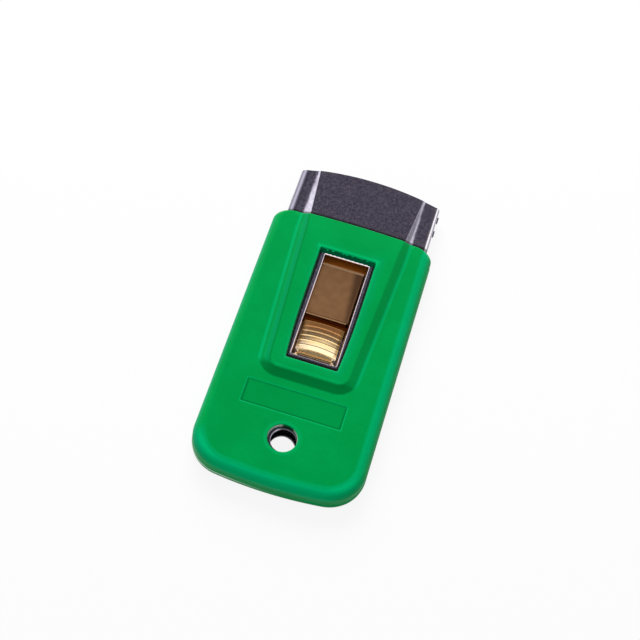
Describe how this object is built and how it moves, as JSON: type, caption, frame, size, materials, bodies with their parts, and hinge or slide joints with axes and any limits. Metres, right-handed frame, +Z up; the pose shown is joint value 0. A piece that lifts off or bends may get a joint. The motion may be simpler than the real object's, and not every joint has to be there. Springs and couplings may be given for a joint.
{
  "type": "safety scraper",
  "caption": "Flat pocket scraper: steel case in a green grip sleeve, with a razor blade on a brass carriage that a ribbed thumb pad slides out of the mouth.",
  "frame": {"origin": "centre of the bounding box in plan, at the sleeve's underside, with the blade drawn in", "axes": "+Y towards the mouth the blade leaves by, +Z up out of the thumb window, +X to the right seen from the rear"},
  "size_m": [0.0484, 0.1068, 0.008],
  "materials": {
    "sleeve_green": "satin soft plastic",
    "case_steel": "bright nickel plate",
    "brass": "polished",
    "razor_steel": "ground"
  },
  "bodies": {
    "case": {"grip_sleeve": "sleeve_green", "upper_case": "case_steel", "lower_case": "case_steel"},
    "carriage": {"blade_carriage": "brass", "blade": "razor_steel", "blade_back": "case_steel", "tongue_rivet_left": "brass", "tongue_rivet_right": "brass"},
    "tongue": {"thumb_tongue": "brass"}
  },
  "joints": [
    {"name": "blade_slide", "type": "slide", "parent": "case", "child": "carriage", "axis": [0, 1, 0], "range_m": [0, 0.0223]},
    {"name": "thumb_press", "type": "hinge", "parent": "carriage", "child": "tongue", "pos_m": [0.0005, -0.0227, 0.004], "axis": [-1, 0, 0], "range_deg": [0, 2], "stiffness_Nm_per_rad": 0.05}
  ]
}
